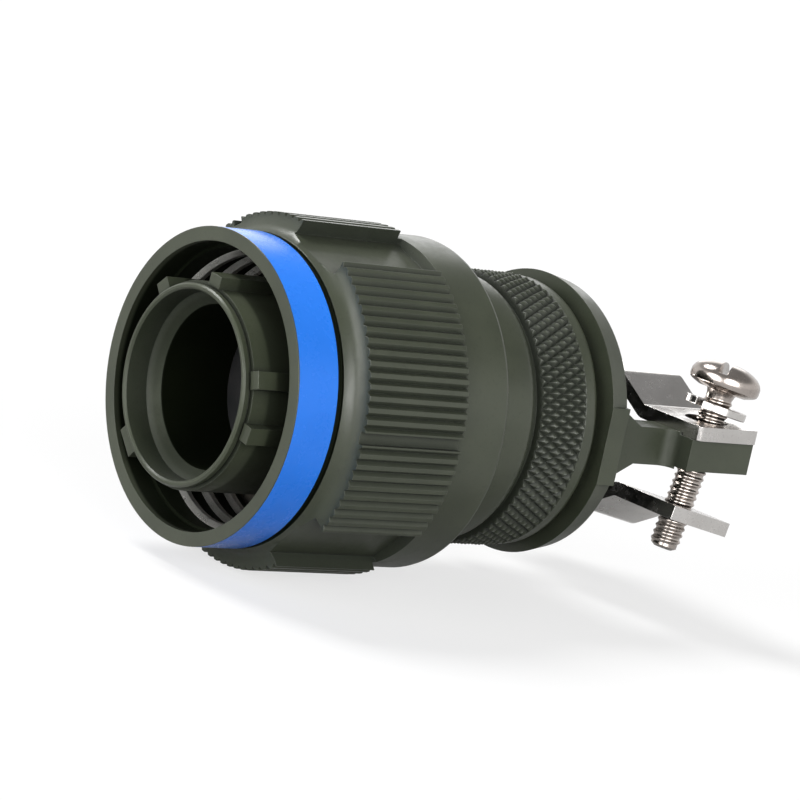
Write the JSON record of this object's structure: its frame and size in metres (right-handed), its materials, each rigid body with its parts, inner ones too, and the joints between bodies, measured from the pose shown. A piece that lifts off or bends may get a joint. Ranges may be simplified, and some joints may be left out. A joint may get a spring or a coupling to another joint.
{
  "type": "circular connector",
  "caption": "Circular cable plug with a serrated threaded coupling ring, keyed barrel and a backshell with a saddle cable clamp.",
  "frame": {"origin": "centre of the coupling ring's front rim, on the connector's axis", "axes": "+X along the connector's axis towards the cable end, +Z towards the clamp screws' heads, -Y to the left side, the one near the camera"},
  "size_m": [0.0581, 0.0324, 0.0324],
  "materials": {
    "olive_plate": "satin olive drab plating",
    "band_paint": "glossy blue colour band",
    "hardware_steel": "plain stainless steel",
    "spring_metal": "bright spring metal",
    "seal_rubber": "matt silicone rubber",
    "insert_plastic": "matt hard plastic",
    "contact_metal": "gold plate"
  },
  "bodies": {
    "shell": {"plug_shell": "olive_plate", "ground_spring": "spring_metal", "barrel_seal": "seal_rubber", "face_seal": "seal_rubber", "insulator": "insert_plastic", "grommet": "seal_rubber", "contacts": "contact_metal", "ratchet_ring": "hardware_steel", "nut_retainer": "spring_metal", "backshell_seal": "seal_rubber", "backshell_body": "olive_plate", "upper_saddle": "olive_plate"},
    "ring": {"coupling_ring": "olive_plate", "colour_band": "band_paint", "ring_retainer": "spring_metal", "detent_spring": "spring_metal", "spring_washer": "spring_metal"},
    "nut": {"backshell_nut": "olive_plate"},
    "left_screw": {"left_clamp_screw": "hardware_steel", "left_lock_washer": "hardware_steel"},
    "right_screw": {"right_clamp_screw": "hardware_steel", "right_lock_washer": "hardware_steel"},
    "saddle": {"lower_saddle": "olive_plate"}
  },
  "joints": [
    {"name": "coupling_ring_turn", "type": "hinge", "parent": "shell", "child": "ring", "pos_m": [0, 0, 0], "axis": [1, 0, 0], "continuous": true},
    {"name": "backshell_nut_turn", "type": "hinge", "parent": "shell", "child": "nut", "pos_m": [0.03, 0, 0], "axis": [1, 0, 0], "continuous": true},
    {"name": "left_screw_turn", "type": "hinge", "parent": "shell", "child": "left_screw", "pos_m": [0.0513, -0.0115, 0], "axis": [0.1908, 0, 0.9816], "range_deg": [-1650, 1480]},
    {"name": "right_screw_turn", "type": "hinge", "parent": "shell", "child": "right_screw", "pos_m": [0.0513, 0.0115, 0], "axis": [0.1908, 0, 0.9816], "range_deg": [-1650, 1480]},
    {"name": "lower_saddle_slide", "type": "slide", "parent": "shell", "child": "saddle", "axis": [0.1908, 0, 0.9816], "range_m": [-0.0026, 0.0029]}
  ],
  "couplings": [
    {"joint": "left_screw_turn", "follows": "lower_saddle_slide", "rad_per_m": -9894.8},
    {"joint": "right_screw_turn", "follows": "lower_saddle_slide", "rad_per_m": -9894.8}
  ]
}
